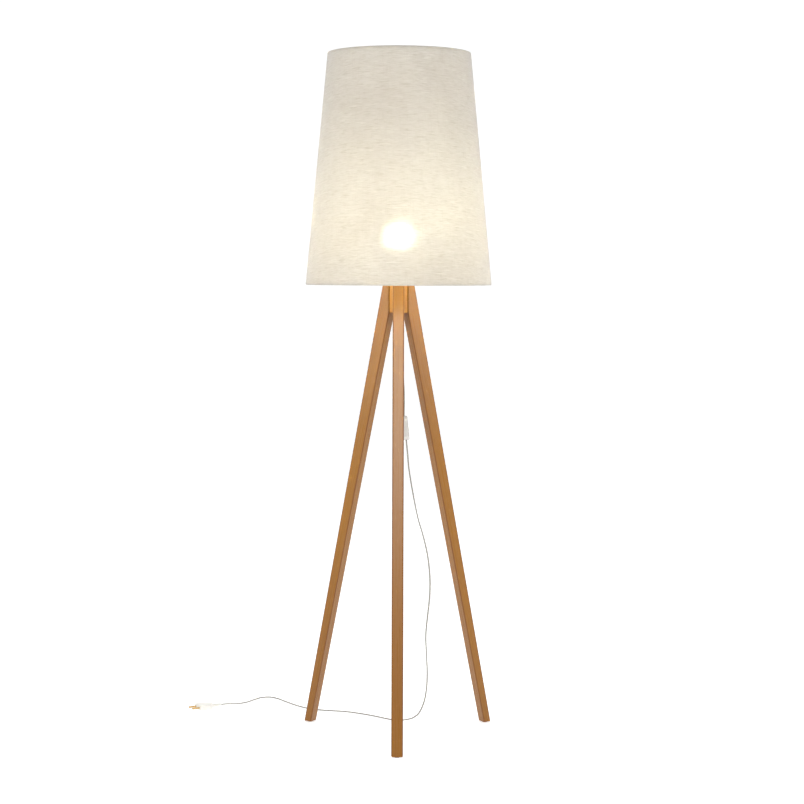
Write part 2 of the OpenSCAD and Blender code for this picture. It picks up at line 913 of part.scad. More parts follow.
switch_contacts();
switch_bridge();
switch_screws();
switch_leads();
cord_lower();
plug_relief();
plug_body();
plug_pin(1);  // plug_pin_left
plug_pin(-1);  // plug_pin_right
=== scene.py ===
"""Tripod floor lamp: linen shade, wooden stand and clear twin flex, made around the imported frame."""

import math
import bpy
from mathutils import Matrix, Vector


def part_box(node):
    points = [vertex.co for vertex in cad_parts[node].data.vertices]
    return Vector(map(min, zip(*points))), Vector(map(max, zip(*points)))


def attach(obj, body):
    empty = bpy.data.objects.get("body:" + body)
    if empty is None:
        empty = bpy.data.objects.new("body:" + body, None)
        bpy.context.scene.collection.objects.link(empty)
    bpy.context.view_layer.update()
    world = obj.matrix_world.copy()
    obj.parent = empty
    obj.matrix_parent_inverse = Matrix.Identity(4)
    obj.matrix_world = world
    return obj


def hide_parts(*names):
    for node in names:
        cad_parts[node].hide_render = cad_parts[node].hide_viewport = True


bl_info = {
    "name": "Tripod Floor Lamp",
    "version": (1, 0, 0),
    "blender": (4, 5, 0),
    "location": "3D View > Sidebar > Lamp",
    "description": "Makes the shade, flex and finishes of a tripod floor lamp",
    "category": "Object",
}

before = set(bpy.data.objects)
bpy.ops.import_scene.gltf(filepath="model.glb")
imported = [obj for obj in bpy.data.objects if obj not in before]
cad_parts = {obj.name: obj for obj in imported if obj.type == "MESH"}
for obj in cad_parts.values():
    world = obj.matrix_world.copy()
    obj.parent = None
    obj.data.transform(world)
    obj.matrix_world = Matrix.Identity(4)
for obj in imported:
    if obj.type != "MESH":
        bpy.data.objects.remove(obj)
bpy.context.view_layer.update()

import bpy
from bpy.props import FloatProperty, FloatVectorProperty, PointerProperty
from mathutils import Matrix, Vector, noise

MM = 0.001

# ---- Camera ----

CAMERA_PLACE = (0.00825, -4.51338, 1.02943)
CAMERA_PITCH = 86.302
CAMERA_ROLL = 0.1745
CAMERA_LENS = 91.92

# ---- Light ----

BULB_POWER = 130.0
BACKDROP = 1.05
FLOOR_GLOW = 0.46
SKY_BACK = 1.3
SKY_FRONT = 0.1
SKY_SIDE = 0.5
SKY_TOP = 0.65
# Name, place, point aimed at, size of the square and watts
SOFTBOXES = (
    ("key", (0.0, -4.4, 2.4), (0, 0, 0.8), 1.2, 71.0),
    ("rim", (0.0, 4.4, 2.4), (0, 0, 0.8), 1.2, 15.0),
    ("left", (-1.2, -0.9, 0.95), (0, 0, 0.85), 0.6, 6.0),
    ("right", (1.2, -0.9, 0.95), (0, 0, 0.85), 0.6, 6.0),
)

# ---- Routes of the flex, from the lamp towards the plug ----

UPPER_ROUTE = [
    (0, 0, 904.4), (0.5, 0, 885), (3, 1, 850), (8, 1, 812), (12, 0, 775), (13, 0, 740),
    (12.6, 0, 707.6),
]
LOWER_ROUTE = [
    (17.8, 0, 653.4), (20.5, 1, 628), (24, 4, 590), (32, 10, 540), (44, 20, 480),
    (57, 32, 434), (67, 45, 388), (72, 60, 340), (72, 76, 295), (68, 92, 250), (64, 108, 200),
    (66, 124, 150), (68, 138, 105), (66, 146, 65), (60, 149, 35), (49, 147, 12), (36, 140, 3.4),
    (20, 126, 2.1), (2, 120, 1.9), (-18, 130, 1.9), (-52, 162, 1.9), (-87, 190, 1.9),
    (-122, 210, 1.9), (-157, 220, 1.9), (-188, 230, 1.9), (-214, 248, 1.9), (-240, 278, 1.9),
    (-266, 318, 1.9), (-286, 350, 1.9), (-306, 369, 1.9), (-327, 364, 1.9), (-343, 340, 1.9),
    (-358, 312, 1.9), (-378, 286, 3.5), (-400, 269.5, 6.4), (-415.5, 260.2, 6.8),
]
LEG_ANGLES = {"leg_front": 270, "leg_rear_left": 150, "leg_rear_right": 30}
# Inward run of a leg's outer face for one unit of height
LEG_LEAN = 0.2125
# Height up to which the wood is painted darker towards the floor, a painted shade, and how much at the
# floor
PAINTED_SHADE_HEIGHT = 0.45
PAINTED_SHADE_DEPTH = 0.2

# ---- How finely the flex and the shade are made, and their small sizes ----

# Steps between two points of a route, and the spacing of a flex's sections
SPAN_STEPS = 24
FLEX_STEP = 2.5 * MM
FLEX_SIDES = 20
# The groove between the flex's two cores: shares of its half thickness and of its half width
WAIST_DEPTH = 0.16
WAIST_WIDTH = 0.32
# A route this low lies on the floor; above it the drop fades out over the second height
LYING_HEIGHT = 2 * MM
LIFT_HEIGHT = 4 * MM
# Turns in a metre of the lower flex, and the length before the plug that lies untwisted
LOWER_TWIST = 1.4
LOWER_CALM = 0.72
# Rows of faces up the cloth, over each rolled edge and down the liner, and columns round the shade
CLOTH_ROWS = 56
ROLL_ROWS = 8
LINER_ROWS = 27
SHADE_COLUMNS = 176
# From a ring wire's outside to the cloth's, and how far the turned-in hem stands off the cloth
RING_TO_CLOTH = 1.45 * MM
HEM_PROUD = 0.5 * MM
# The lap at the back: its height over the cloth, and the angle in which it rises, in radians
LAP_PROUD = 0.45 * MM
LAP_RISE = 0.004
RIPPLE = 0.25 * MM
FLOOR_SIDE = 30.0


def linear(code):
    """Scene-linear colour of a six-digit sRGB code."""
    values = [int(code[i:i + 2], 16) / 255 for i in (0, 2, 4)]
    return tuple(v / 12.92 if v <= 0.04045 else ((v + 0.055) / 1.055) ** 2.4 for v in values)


def metres(name, text, value):
    return FloatProperty(name=name, description=text, default=value, unit="LENGTH")


def colour(name, text, code):
    return FloatVectorProperty(
        name=name, description=text, default=linear(code), subtype="COLOR", size=3, min=0, max=1
    )


class LampSizes(bpy.types.PropertyGroup):
    """Sizes of the made pieces"""

    cloth: metres("Cloth", "Thickness of the linen with its liner", 1.15 * MM)
    roll: metres("Rolled edge", "Radius of the rolled edge over each ring wire", 2.1 * MM)
    flap: metres("Turned hem", "Height of the hem turned in over each ring", 7 * MM)
    lap: metres("Seam lap", "Width of the glued lap at the back", 9 * MM)
    flex_wide: metres("Flex width", "Width of the twin flex", 3.4 * MM)
    flex_thin: metres("Flex thickness", "Thickness of the twin flex", 2.9 * MM)
    slub: metres("Slub length", "Length of a thick place in the linen's yarn", 28 * MM)
    yarn: metres("Yarn pitch", "Distance between the linen's threads", 0.9 * MM)
    leg_head: metres("Leg head", "Radial thickness of a leg at the top of the hub", 16 * MM)
    leg_foot: metres("Leg foot", "Radial thickness of a leg at the floor", 17.5 * MM)
    pore: metres("Pore length", "Length of a pore in the wood", 14 * MM)


class LampColours(bpy.types.PropertyGroup):
    """Colours of the finishes"""

    linen: colour("Linen", "Linen cloth", "D2CDC4")
    linen_dark: colour("Linen slubs", "Thick dark places in the yarn", "A99F89")
    linen_light: colour("Linen flecks", "Pale places in the yarn", "E3E0D8")
    liner: colour("Liner", "White liner behind the linen", "F0F0EF")
    glow: colour("Glow", "Lamplight that comes through the linen", "FAF3EE")
    oak: colour("Wood", "Main colour of the oiled wood", "9D6C2C")
    oak_dark: colour("Wood, late growth", "Darker lines of the grain", "895A22")
    # Paler tone that the hub's wood is blended towards, a painted light standing for lamplight on the
    # hub
    oak_painted_lit: colour("Pale wood", "Tone of the paler hub", "D9A055")
    # Pore colour, also used for the painted shade on the legs towards the floor and along their edges
    oak_pore_and_shade: colour("Wood pores", "Pores of the wood", "6F411B")
    flex: colour("Flex jacket", "Clear vinyl over the cores", "98948B")
    flex_core: colour("Flex cores", "Tinned cores seen through the jacket", "55544E")
    plastic: colour("White plastic", "Moulded parts", "EFEDE7")
    clear: colour("Clear plastic", "Translucent switch housing", "E4E2DE")


class Sock:
    """A value on its way through a material, with arithmetic that adds Math nodes."""

    def __init__(self, recipe, socket):
        self.recipe = recipe
        self.socket = socket

    def _math(self, operation, *values):
        return self.recipe.add(
            "ShaderNodeMath", {"operation": operation}, dict(enumerate(values))
        )

    def __add__(self, other):
        return self._math("ADD", self, other)

    def __radd__(self, other):
        return self._math("ADD", other, self)

    def __sub__(self, other):
        return self._math("SUBTRACT", self, other)

    def __rsub__(self, other):
        return self._math("SUBTRACT", other, self)

    def __mul__(self, other):
        return self._math("MULTIPLY", self, other)

    def __rmul__(self, other):
        return self._math("MULTIPLY", other, self)

    def __truediv__(self, other):
        return self._math("DIVIDE", self, other)

    def __rtruediv__(self, other):
        return self._math("DIVIDE", other, self)

    def __pow__(self, other):
        return self._math("POWER", self, other)

    def wave(self):
        return self._math("SINE", self)

    def above(self, floor):
        return self._math("MAXIMUM", self, floor)

    def or_less(self, other):
        return self._math("MINIMUM", self, other)

    def size(self):
        return self._math("ABSOLUTE", self)

    def within(self, low, high):
        """0 at low, 1 at high, smooth between."""
        return self.recipe.add(
            "ShaderNodeMapRange",
            {"interpolation_type": "SMOOTHSTEP"},
            {"Value": self, "From Min": low, "From Max": high},
        )


class Recipe:
    """A material while it is put together."""

    def __init__(self, name):
        self.material = bpy.data.materials.new(name)
        self.material.use_nodes = True
        self.tree = self.material.node_tree
        self.tree.nodes.clear()

    @classmethod
    def around(cls, tree):
        """A recipe for a node tree that isn't a material's."""
        recipe = cls.__new__(cls)
        recipe.tree = tree
        tree.nodes.clear()
        return recipe

    def add(self, kind, settings=None, values=None, out=0):
        """Adds one node: its settings first, then the values or links of its sockets."""
        node = self.tree.nodes.new(kind)
        for key, value in (settings or {}).items():
            setattr(node, key, value)
        for key, value in (values or {}).items():
            if isinstance(value, Sock):
                self.tree.links.new(value.socket, node.inputs[key])
            elif hasattr(value, "__len__") and node.inputs[key].type == "RGBA":
                node.inputs[key].default_value = (*value[:3], 1)
            else:
                node.inputs[key].default_value = value
        return Sock(self, node.outputs[out]) if node.outputs else None

    def place(self):
        """Object coordinates, in metres."""
        return self.add("ShaderNodeTexCoord", out=3)

    def flat(self):
        """Coordinates on the cut cloth in metres, or round and along the flex."""
        return self.add("ShaderNodeUVMap", {"uv_map": "cut"})

    def parts(self, vector):
        node = self.tree.nodes.new("ShaderNodeSeparateXYZ")
        self.tree.links.new(vector.socket, node.inputs[0])
        return [Sock(self, out) for out in node.outputs]

    def join(self, x, y, z):
        return self.add("ShaderNodeCombineXYZ", None, {0: x, 1: y, 2: z})

    def turn(self, vector, rotation):
        return self.add(
            "ShaderNodeMapping", {"vector_type": "POINT"}, {"Vector": vector, "Rotation": rotation}
        )

    def grain(self, vector, scale=1.0, detail=2.0, roughness=0.5):
        return self.add(
            "ShaderNodeTexNoise", None,
            {"Vector": vector, "Scale": scale, "Detail": detail, "Roughness": roughness},
        )

    def blend(self, factor, a, b):
        """A colour from a, where factor is 0, to b, where it is 1."""
        return self.add(
            "ShaderNodeMix", {"data_type": "RGBA"}, {0: factor, 6: a, 7: b}, out=2
        )

    def tint(self, colour_a, colour_b):
        """The two colours multiplied."""
        return self.add(
            "ShaderNodeMix", {"data_type": "RGBA", "blend_type": "MULTIPLY"},
            {0: 1.0, 6: colour_a, 7: colour_b}, out=2,
        )

    def bump(self, height, distance, strength=1.0):
        return self.add(
            "ShaderNodeBump", None, {"Height": height, "Distance": distance, "Strength": strength}
        )

    def skin(self, **values):
        """The Principled surface; its socket names are given with underscores for spaces."""
        return self.add(
            "ShaderNodeBsdfPrincipled", None, {k.replace("_", " "): v for k, v in values.items()}
        )

    def mixed(self, factor, a, b):
        return self.add("ShaderNodeMixShader", None, {0: factor, 1: a, 2: b})

    def done(self, surface):
        self.add("ShaderNodeOutputMaterial", None, {"Surface": surface})
        return self.material


def lamp_sizes():
    return bpy.context.scene.lamp_sizes


def lamp_colours():
    return bpy.context.scene.lamp_colours


def dress(node, material):
    """Gives a frame node a finish."""
    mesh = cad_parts[node].data
    mesh.materials.clear()
    mesh.materials.append(material)


def new_piece(name, mesh, body="lamp"):
    piece = bpy.data.objects.new(name, mesh)
    bpy.context.scene.collection.objects.link(piece)
    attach(piece, body)
    return piece


# ---- Smooth lines ----


def through(points, step):
    """Points about step apart on the smooth line through points, and their distance along it."""
    p = [Vector(q) for q in points]
    fine = []
    for i in range(len(p) - 1):
        a, b, c, d = p[max(i - 1, 0)], p[i], p[i + 1], p[min(i + 2, len(p) - 1)]
        for k in range(SPAN_STEPS):
            t = k / SPAN_STEPS
            fine.append(
                0.5 * (2 * b + (c - a) * t + (2 * a - 5 * b + 4 * c - d) * t * t
                       + (3 * b - a - 3 * c + d) * t ** 3)
            )
    fine.append(p[-1])
    along = [0.0]
    for a, b in zip(fine, fine[1:]):
        along.append(along[-1] + (b - a).length)
    count = max(2, round(along[-1] / step))
    line, i = [], 0
    for k in range(count + 1):
        want = along[-1] * k / count
        while i < len(along) - 2 and along[i + 1] < want:
            i += 1
        share = (want - along[i]) / max(along[i + 1] - along[i], 1e-9)
        line.append(fine[i].lerp(fine[i + 1], min(share, 1)))
    return line, along[-1]


def twin_outline(wide, thin):
    """The section of a twin flex: two round cores side by side under one jacket."""
    outline = []
    for k in range(FLEX_SIDES):
        a = 2 * math.pi * k / FLEX_SIDES
        waist = 1 - WAIST_DEPTH * math.exp(-((math.cos(a) / WAIST_WIDTH) ** 2))
        outline.append((wide / 2 * math.cos(a), thin / 2 * math.sin(a) * waist))
    return outline


def settled(point, drop):
    """A point of a route, lowered where the flex lies, since the flex is flatter than it is wide."""
    x, y, z = point
    return x, y, z - drop * max(0.0, 1 - max(0.0, z - LYING_HEIGHT) / LIFT_HEIGHT)


def flex(name, route, twist_per_metre, calm):
    """A twin flex swept along route; it turns as it hangs and lies flat for the last calm metres."""
    sizes = lamp_sizes()
    line, length = through([[c * MM for c in q] for q in route], FLEX_STEP)
    drop = (sizes.flex_wide - sizes.flex_thin) / 2
    line = [Vector(settled(point, drop)) for point in line]
    outline = twin_outline(sizes.flex_wide, sizes.flex_thin)
    step = length / (len(line) - 1)
    last = len(line) - 1
    ahead = [(line[min(k + 1, last)] - line[max(k - 1, 0)]).normalized() for k in range(last + 1)]
    side = ahead[last].cross(Vector((0, 0, 1)))
    if side.length < 0.1:
        side = Vector((1, 0, 0))
    sides = [None] * (last + 1)
    for k in range(last, -1, -1):
        side = (side - ahead[k] * side.dot(ahead[k])).normalized()
        sides[k] = side.copy()
    mesh = bpy.data.meshes.new(name)
    verts, faces, cut = [], [], []
    n = len(outline)
    for k, (point, forward, side) in enumerate(zip(line, ahead, sides)):
        lying = (last - k) * step
        turn = twist_per_metre * 2 * math.pi * max(0.0, lying - calm)
        u = Matrix.Rotation(turn, 3, forward) @ side
        v = forward.cross(u)
        verts += [point + u * x + v * y for x, y in outline]
    for k in range(last):
        for j in range(n):
            a, b = k * n + j, k * n + (j + 1) % n
            faces.append((a, b, b + n, a + n))
            cut.append([(j / n, k * step), ((j + 1) / n, k * step),
                        ((j + 1) / n, (k + 1) * step), (j / n, (k + 1) * step)])
    faces.append(tuple(range(n - 1, -1, -1)))
    faces.append(tuple(range(last * n, last * n + n)))
    cut += [[(0.5, 0)] * n, [(0.5, length)] * n]
    mesh.from_pydata(verts, [], faces)
    layer = mesh.uv_layers.new(name="cut")
    for polygon, corners in zip(mesh.polygons, cut):
        polygon.use_smooth = len(corners) == 4
        for loop, corner in zip(polygon.loop_indices, corners):
            layer.data[loop].uv = corner
    mesh.update()
    return new_piece(name, mesh), line


# ---- Finishes ----


def flex_finish():
    """Clear vinyl over two stranded cores."""
    colours = lamp_colours()
    r = Recipe("clear_flex")
    around, along, _ = r.parts(r.flat())
    lobes = (around * (4 * math.pi)).wave() * 0.5 + 0.5
    strands = ((along * 2400.0 + around * 44.0).wave() * 0.5 + 0.5) ** 2.0
    cloud = r.grain(r.join(around * 3.0, along * 22.0, 0.0), 1.0, 3.0)
    core = r.blend(strands * 0.5, colours.flex_core, linear("A3A199"))
    body = r.blend((lobes * 0.35 + 0.45 + cloud * 0.2).within(0.0, 1.25), core, colours.flex)
    return r.done(
        r.skin(
            Base_Color=body, Roughness=cloud * 0.12 + 0.22, Coat_Weight=0.6, Coat_Roughness=0.12,
            Normal=r.bump(strands * 0.3 + cloud, 0.12 * MM, 0.35),
        )
    )


def linen_finish(inside=False):
    """Slubbed linen: long thin thick places along the weft, fine threads both ways."""
    sizes, colours = lamp_sizes(), lamp_colours()
    r = Recipe("linen_turned_in" if inside else "linen")
    across, up, _ = r.parts(r.flat())
    drift = r.grain(r.join(across * 9.0, up * 9.0, 0.0), 1.0, 2.0)
    bent = up + drift * (5 * MM)
    long_step = 1 / sizes.slub
    slub_field = r.grain(r.join(across * long_step, bent * 300.0, 3.1), 1.0, 2.0, 0.6)
    slubs = slub_field.within(0.5, 0.8)
    fine_field = r.grain(r.join(across * (long_step * 2.2), bent * 620.0, 7.7), 1.0, 2.0, 0.6)
    fine = fine_field.within(0.42, 0.72)
    pale_field = r.grain(r.join(across * (long_step * 0.8), bent * 260.0, 12.3), 1.0, 2.0)
    pale = pale_field.within(0.5, 0.75)
    warp_field = r.grain(r.join(across * 700.0, up * 30.0, 1.7), 1.0, 2.0).within(0.52, 0.75)
    weft = (bent * (2 * math.pi / sizes.yarn)).wave() * 0.5 + 0.5
    warp = (across * (2 * math.pi / sizes.yarn)).wave() * 0.5 + 0.5
    patch = r.grain(r.join(across * 6.0, up * 6.0, 5.0), 1.0, 3.0)
    base = r.blend(patch.within(0.3, 0.7) * 0.4, colours.linen, colours.linen_light)
    base = r.blend(pale * 0.5, base, colours.linen_light)
    base = r.blend(warp_field * 0.1, base, colours.linen_dark)
    base = r.blend(fine * 0.24, base, colours.linen_dark)
    base = r.blend(slubs * 0.38, base, colours.linen_dark)
    height = slubs * 1.2 + fine * 0.6 + weft * 0.35 + warp * 0.35 + warp_field * 0.3
    normal = r.bump(height, 0.25 * MM, 0.6)
    skin = r.skin(
        Base_Color=base, Roughness=patch * 0.1 + 0.82, Specular_IOR_Level=0.2, Sheen_Weight=0.8,
        Sheen_Roughness=0.5, Normal=normal,
    )
    through_cloth = r.add(
        "ShaderNodeBsdfTranslucent", None,
        {"Color": r.tint(base, colours.glow), "Normal": normal},
    )
    straight = r.add(
        "ShaderNodeBsdfRefraction", {"distribution": "GGX"},
        {"Color": base, "Roughness": 0.42, "IOR": 1.16, "Normal": normal},
    )
    return r.done(r.mixed(0.14, r.mixed(0.3, skin, through_cloth), straight))


def liner_finish():
    """White laminated sheet with a faint fleece."""
    colours = lamp_colours()
    r = Recipe("shade_liner")
    across, up, _ = r.parts(r.flat())
    cloud = r.grain(r.join(across * 14.0, up * 14.0, 0.0), 1.0, 4.0)
    fleece = r.grain(r.join(across * 500.0, up * 500.0, 2.0), 1.0, 2.0)
    base = r.blend(cloud.within(0.3, 0.7) * 0.25, colours.liner, colours.linen_light)
    normal = r.bump(fleece, 0.06 * MM, 0.5)
    skin = r.skin(Base_Color=base, Roughness=cloud * 0.1 + 0.7, Normal=normal)
    through_liner = r.add("ShaderNodeBsdfTranslucent", None, {"Color": base, "Normal": normal})
    straight = r.add(
        "ShaderNodeBsdfRefraction", {"distribution": "GGX"},
        {"Color": base, "Roughness": 0.34, "IOR": 1.16, "Normal": normal},
    )
    return r.done(r.mixed(0.14, r.mixed(0.18, skin, through_liner), straight))


def leg_edge_shade(r, angle):
    """1 along the four edges of a leg, where shade is painted darker on the wood, and 0 on its faces.
    """
    sizes = lamp_sizes()
    low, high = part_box("leg_front")
    hub_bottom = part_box("hub_block")[0][2]
    foot, seat, half = -low[1], -high[1], (high[0] - low[0]) / 2
    outward, sideways, z = r.parts(r.turn(r.place(), (0, 0, math.radians(-angle))))
    outer = foot - z * ((foot - seat - sizes.leg_head) / high[2])
    inner = foot - sizes.leg_foot - z * ((foot - sizes.leg_foot - seat) / hub_bottom)
    depth = (outer - outward).or_less(outward - inner)
    near_face = 1 - depth.within(1.0 * MM, 3.0 * MM)
    return near_face * sideways.size().within(half - 3.0 * MM, half - 1.0 * MM)


def wood_finish(name, rotation, seed, painted_light=0.0, leg_angle=None):
    """Straight-grained oiled wood, grain along the turned Z axis; the argument after seed, from 0 to 1,
    makes it paler, a painted light; on a leg, shade is painted darker towards the floor and along its
    edges.
    """
    sizes, colours = lamp_sizes(), lamp_colours()
    r = Recipe(name)
    x, y, z = r.parts(r.turn(r.place(), rotation))
    broad = r.grain(r.join(x * 14.0, y * 14.0, z * 1.1 + seed), 1.0, 3.0)
    wander = r.grain(r.join(x * 6.0, y * 6.0, z * 2.2 + seed), 1.0, 2.0)
    rings = ((x * 1500.0 + y * 420.0 + wander * 26.0).wave() * 0.5 + 0.5) ** 1.6
    fibre = r.grain(r.join(x * 900.0, y * 900.0, z * 9.0 + seed), 1.0, 3.0, 0.6)
    pore = r.grain(r.join(x * 1500.0, y * 1500.0, z / sizes.pore + seed), 1.0, 2.0, 0.55)
    pores = pore.within(0.62, 0.76)
    fleck = r.grain(r.join(x * 260.0, y * 260.0, z * 60.0 + seed), 1.0, 2.0).within(0.6, 0.78)
    base = r.blend(broad.within(0.3, 0.7), colours.oak, colours.oak_dark)
    base = r.blend(rings * 0.35, base, colours.oak_dark)
    base = r.blend(fibre.within(0.35, 0.7) * 0.25, base, colours.oak_dark)
    base = r.blend(fleck * 0.18, base, linear("C9954F"))
    base = r.blend(pores * 0.4, base, colours.oak_pore_and_shade)
    # Painted light: the wood is made paler where lamplight falls on it
    base = r.blend(painted_light, base, colours.oak_painted_lit)
    if leg_angle is not None:
        # Painted shade: the legs are darkened towards the floor
        base = r.blend((1 - z.within(0.0, PAINTED_SHADE_HEIGHT)) * PAINTED_SHADE_DEPTH, base, colours.oak_pore_and_shade)
        # Painted shade: the legs are darkened along their four edges
        base = r.blend(leg_edge_shade(r, leg_angle) * 0.85, base, colours.oak_pore_and_shade)
    height = fibre * 0.4 - pores * 0.8 + rings * 0.15
    return r.done(
        r.skin(
            Base_Color=base, Roughness=fibre * 0.12 + pores * 0.15 + 0.22, Coat_Weight=0.05,
            Coat_Roughness=0.3, Specular_IOR_Level=0.28, Normal=r.bump(height, 0.12 * MM, 0.5),
        )
    )


def metal_finish(name, code, rough=0.28):
    """Plated metal with fine drawn lines along Z and a faint cloud."""
    r = Recipe(name)
    place = r.place()
    x, y, z = r.parts(place)
    lines = r.grain(r.join(x * 900.0, y * 900.0, z * 40.0), 1.0, 3.0)
    cloud = r.grain(place, 60.0, 3.0)
    base = r.blend(cloud.within(0.3, 0.75) * 0.4, linear(code), (0.32, 0.31, 0.3))
    return r.done(
        r.skin(
            Base_Color=base, Metallic=1.0, Roughness=lines * 0.16 + cloud * 0.12 + rough - 0.1,
            Normal=r.bump(lines, 0.02 * MM, 0.4),
        )
    )


def moulded_finish(name, tone, rough=0.34, clear=0.0, tooth=0.03):
    """Moulded plastic or glazed ceramic: fine tooth from the mould, faint clouding."""
    r = Recipe(name)
    place = r.place()
    tooth_field = r.grain(place, 2600.0, 2.0)
    cloud = r.grain(place, 45.0, 3.0)
    base = r.blend(cloud.within(0.35, 0.75) * 0.35, tone, [c * 0.86 for c in tone[:3]])
    return r.done(
        r.skin(
            Base_Color=base, Roughness=cloud * 0.14 + rough - 0.06, Transmission_Weight=clear,
            IOR=1.49, Normal=r.bump(tooth_field + cloud * 0.5, tooth * MM, 0.5),
        )
    )


def felt_finish():
    """Pressed felt of two browns."""
    r = Recipe("felt")
    place = r.place()
    hair = r.grain(place, 3800.0, 4.0, 0.7)
    tuft = r.grain(place, 700.0, 3.0)
    base = r.blend(hair.within(0.3, 0.7), linear("4A3527"), linear("7B6450"))
    return r.done(
        r.skin(
            Base_Color=base, Roughness=0.95, Sheen_Weight=0.5,
            Normal=r.bump(hair + tuft, 0.4 * MM),
        )
    )


def glow_finish():
    """Opal globe, lit from inside, a little dimmer at its foot."""
    r = Recipe("opal_lit")
    z = r.parts(r.place())[2]
    low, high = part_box("bulb_globe")
    level = (z - low[2]) / (high[2] - low[2])
    cloud = r.grain(r.place(), 80.0, 2.0)
    light = r.blend(level.within(-0.1, 0.5), (0.94, 0.91, 0.68), (1.0, 0.97, 0.75))
    return r.done(
        r.skin(
            Base_Color=r.blend(cloud * 0.2, linear("F8F5EC"), linear("E9E4D6")),
            Roughness=cloud * 0.1 + 0.35, Emission_Color=light, Emission_Strength=BULB_POWER,
        )
    )


def studio_world():
    """Plain studio light from all round, its level set by direction; the backdrop itself is white."""
    world = bpy.data.worlds.new("studio")
    world.use_nodes = True
    r = Recipe.around(world.node_tree)
    x, y, z = r.parts(r.add("ShaderNodeTexCoord", out=0))
    back, front, top = y.above(0), (0.0 - y).above(0), z.above(0)
    level = (
        back * back * SKY_BACK + front * front * SKY_FRONT + x * x * SKY_SIDE + top * top * SKY_TOP
    )
    light = r.add("ShaderNodeBackground", None, {"Color": (1, 1, 1), "Strength": level})
    backdrop = r.add("ShaderNodeBackground", None, {"Color": (1, 1, 1), "Strength": BACKDROP})
    seen = r.add("ShaderNodeLightPath")
    r.add("ShaderNodeOutputWorld", None, {"Surface": r.mixed(seen, light, backdrop)})
    return world


# ---- Operators ----


class LAMP_OT_camera(bpy.types.Operator):
    """Sets the camera at the usual front view"""

    bl_idname = "lamp.camera"
    bl_label = "Camera"

    def execute(self, context):
        data = bpy.data.cameras.new("lamp_camera")
        data.lens = CAMERA_LENS
        data.sensor_width = 36
        camera = bpy.data.objects.new("lamp_camera", data)
        camera.matrix_world = (
            Matrix.Translation(CAMERA_PLACE)
            @ Matrix.Rotation(math.radians(CAMERA_PITCH), 4, "X")
            @ Matrix.Rotation(math.radians(CAMERA_ROLL), 4, "Z")
        )
        context.scene.collection.objects.link(camera)
        context.scene.camera = camera
        return {"FINISHED"}


class LAMP_OT_flex(bpy.types.Operator):
    """Makes the two lengths of twin flex"""

    bl_idname = "lamp.flex"
    bl_label = "Flex"

    def execute(self, context):
        finish = flex_finish()
        upper, line = flex("flex_upper", UPPER_ROUTE, 0.0, 0.0)
        upper.data.materials.append(finish)
        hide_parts("cord_upper")
        lower, line = flex("flex_lower", LOWER_ROUTE, LOWER_TWIST, LOWER_CALM)
        lower.data.materials.append(finish)
        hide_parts("cord_lower")
        for node in ("lead_in", "lead_cores", "switch_leads"):
            dress(node, finish_of("flex_plain"))
        return {"FINISHED"}


FINISHES = {}


def finish_of(name):
    """The named finish, made once."""
    if name not in FINISHES:
        colours = lamp_colours()
        makers = {
            "flex_plain": lambda: moulded_finish(name, colours.flex, 0.3),
            "steel": lambda: metal_finish(name, "B9BBBD"),
            "brass": lambda: metal_finish(name, "C9A458", rough=0.24),
            "white_plastic": lambda: moulded_finish(name, colours.plastic, 0.34),
            "rocker_plastic": lambda: moulded_finish(name, colours.plastic, 0.26, tooth=0.015),
            "clear_plastic": lambda: moulded_finish(name, colours.clear, 0.2, 0.35, 0.01),
            "white_wire": lambda: moulded_finish(name, linear("E8E6E0"), 0.4, tooth=0.05),
            "ceramic": lambda: moulded_finish(name, linear("EFEBE1"), 0.16, tooth=0.04),
            "board": lambda: moulded_finish(name, linear("2F6B43"), 0.3),
            "dark_plastic": lambda: moulded_finish(name, linear("2A2A2C"), 0.25),
            "led": lambda: moulded_finish(name, linear("F3D56A"), 0.2),
            "dowel": lambda: moulded_finish(name, linear("D8B98A"), 0.6, tooth=0.1),
            "felt": felt_finish,
            "glow": glow_finish,
        }
        FINISHES[name] = makers[name]()
    return FINISHES[name]


class LAMP_OT_shade(bpy.types.Operator):
    """Makes the laminated linen shade, rolled over its two rings"""

    bl_idname = "lamp.shade"
    bl_label = "Shade"

    def execute(self, context):
        sizes = lamp_sizes()
        low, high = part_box("shade_fabric")
        bottom, top = low[2], high[2]
        wide = (high[0] - low[0]) / 2
        ring_low, ring_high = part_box("shade_top_ring")
        narrow = (ring_high[0] - ring_low[0]) / 2 + RING_TO_CLOTH
        slope = (wide - narrow) / (top - bottom)
        cloth, roll, flap = sizes.cloth, sizes.roll, sizes.flap
        profile = shade_profile(bottom, top, cloth, roll, flap)
        angles = shade_angles(sizes.lap, wide)
        mesh = shade_mesh(profile, angles, wide, slope, bottom)
        shade = new_piece("shade_linen", mesh)
        mesh.materials.append(linen_finish())
        mesh.materials.append(liner_finish())
        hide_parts("shade_fabric", "shade_liner")
        for node in ("shade_top_ring", "shade_bottom_ring"):
            dress(node, finish_of("white_wire"))
        return {"FINISHED"}


